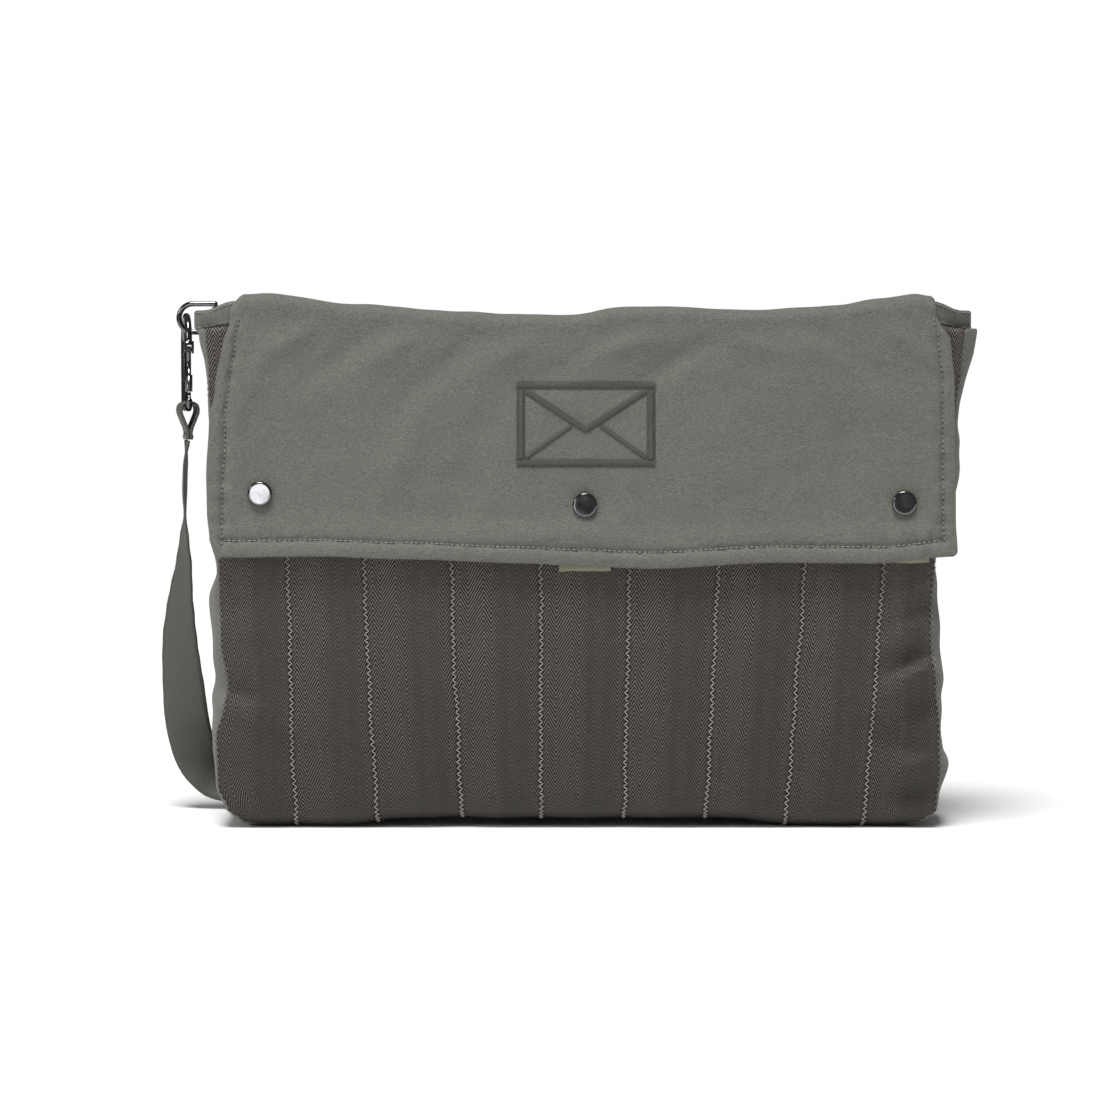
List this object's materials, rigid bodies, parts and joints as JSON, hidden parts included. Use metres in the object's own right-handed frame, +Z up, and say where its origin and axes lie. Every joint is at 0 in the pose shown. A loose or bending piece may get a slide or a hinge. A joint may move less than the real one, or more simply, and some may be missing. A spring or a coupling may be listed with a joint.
{
  "type": "mail bag",
  "caption": "Soft flap-top mail bag with a padded webbing body, press-snap folding flap, side rings, gated hooks and a shoulder strap.",
  "frame": {"origin": "middle of the base, on the surface the bag stands on", "axes": "+X along the bag's width towards its left-hand end as worn, front faces -Y, +Z up"},
  "size_m": [0.4441, 0.1617, 0.2846],
  "materials": {
    "body_webbing": "satin herringbone webbing",
    "flap_cloth": "matte smooth grey-green nylon",
    "foam": "padding",
    "lining": "plain lining cloth",
    "stud_tape": "folded olive tape",
    "strap_webbing": "ribbed nylon webbing",
    "black_nickel": "polished dark nickel",
    "spring_steel": "drawn wire"
  },
  "bodies": {
    "root": {"webbing_strip_1": "body_webbing", "webbing_strip_2": "body_webbing", "webbing_strip_3": "body_webbing", "webbing_strip_4": "body_webbing", "webbing_strip_5": "body_webbing", "webbing_strip_6": "body_webbing", "webbing_strip_7": "body_webbing", "webbing_strip_8": "body_webbing", "webbing_strip_9": "body_webbing", "left_gusset": "flap_cloth", "right_gusset": "flap_cloth", "mouth_binding": "flap_cloth", "front_padding": "foam", "base_padding": "foam", "back_padding": "foam", "body_lining": "lining", "left_stud_tab": "stud_tape", "middle_stud_tab": "stud_tape", "right_stud_tab": "stud_tape", "left_snap_stud": "black_nickel", "middle_snap_stud": "black_nickel", "right_snap_stud": "black_nickel", "flap_anchor": "flap_cloth", "left_ring_tab": "flap_cloth", "right_ring_tab": "flap_cloth", "strap_return": "strap_webbing", "shoulder_strap": "strap_webbing"},
    "flap_top": {"flap_top_shell": "flap_cloth", "flap_top_padding": "foam", "flap_top_lining": "lining"},
    "flap_front": {"flap_front_shell": "flap_cloth", "flap_front_padding": "foam", "flap_front_lining": "lining", "left_snap_cap": "black_nickel", "middle_snap_cap": "black_nickel", "right_snap_cap": "black_nickel", "left_snap_post": "black_nickel", "middle_snap_post": "black_nickel", "right_snap_post": "black_nickel", "left_snap_socket": "black_nickel", "middle_snap_socket": "black_nickel", "right_snap_socket": "black_nickel"},
    "left_ring": {"left_ring": "black_nickel"},
    "left_hook": {"left_hook": "black_nickel", "left_gate_pin": "black_nickel", "left_gate_spring": "spring_steel", "left_strap_loop": "strap_webbing"},
    "left_gate": {"left_gate": "black_nickel"},
    "right_ring": {"right_ring": "black_nickel"},
    "right_hook": {"right_hook": "black_nickel", "right_gate_pin": "black_nickel", "right_gate_spring": "spring_steel", "right_strap_loop": "strap_webbing"},
    "right_gate": {"right_gate": "black_nickel"},
    "strap_slider": {"strap_slider": "black_nickel"}
  },
  "joints": [
    {"name": "flap_lift", "type": "hinge", "parent": "root", "child": "flap_top", "pos_m": [0, 0.0319, 0.2814], "axis": [-1, 0, 0], "range_deg": [0, 180]},
    {"name": "flap_fold", "type": "hinge", "parent": "flap_top", "child": "flap_front", "pos_m": [0, -0.0332, 0.2814], "axis": [-1, 0, 0], "range_deg": [0, 150]},
    {"name": "left_ring_pivot", "type": "hinge", "parent": "root", "child": "left_ring", "pos_m": [-0.2035, 0.033, 0.2752], "axis": [0, 0, 1], "range_deg": [-3, 10]},
    {"name": "left_hook_swing", "type": "hinge", "parent": "root", "child": "left_hook", "pos_m": [-0.2205, 0.033, 0.2725], "axis": [0, 1, 0], "range_deg": [-3, 40]},
    {"name": "left_gate_open", "type": "hinge", "parent": "left_hook", "child": "left_gate", "pos_m": [-0.21655, 0.01911, 0.2575], "axis": [0.9781, 0.2079, 0], "range_deg": [0, 25], "stiffness_Nm_per_rad": 0.004, "springref_deg": -11.46},
    {"name": "right_ring_pivot", "type": "hinge", "parent": "root", "child": "right_ring", "pos_m": [0.177, 0.0355, 0.2685], "axis": [0, 0, 1], "range_deg": [-10, 10]},
    {"name": "right_hook_swing", "type": "hinge", "parent": "root", "child": "right_hook", "pos_m": [0.177, 0.0525, 0.2658], "axis": [1, 0, 0], "range_deg": [-5, 25]},
    {"name": "right_gate_open", "type": "hinge", "parent": "right_hook", "child": "right_gate", "pos_m": [0.1912, 0.0515, 0.2508], "axis": [0, 1, 0], "range_deg": [0, 25], "stiffness_Nm_per_rad": 0.004, "springref_deg": -11.46},
    {"name": "slider_slide", "type": "slide", "parent": "root", "child": "strap_slider", "axis": [0, 0, 1], "range_m": [0, 0.03], "deforming": ["strap_return"]}
  ]
}
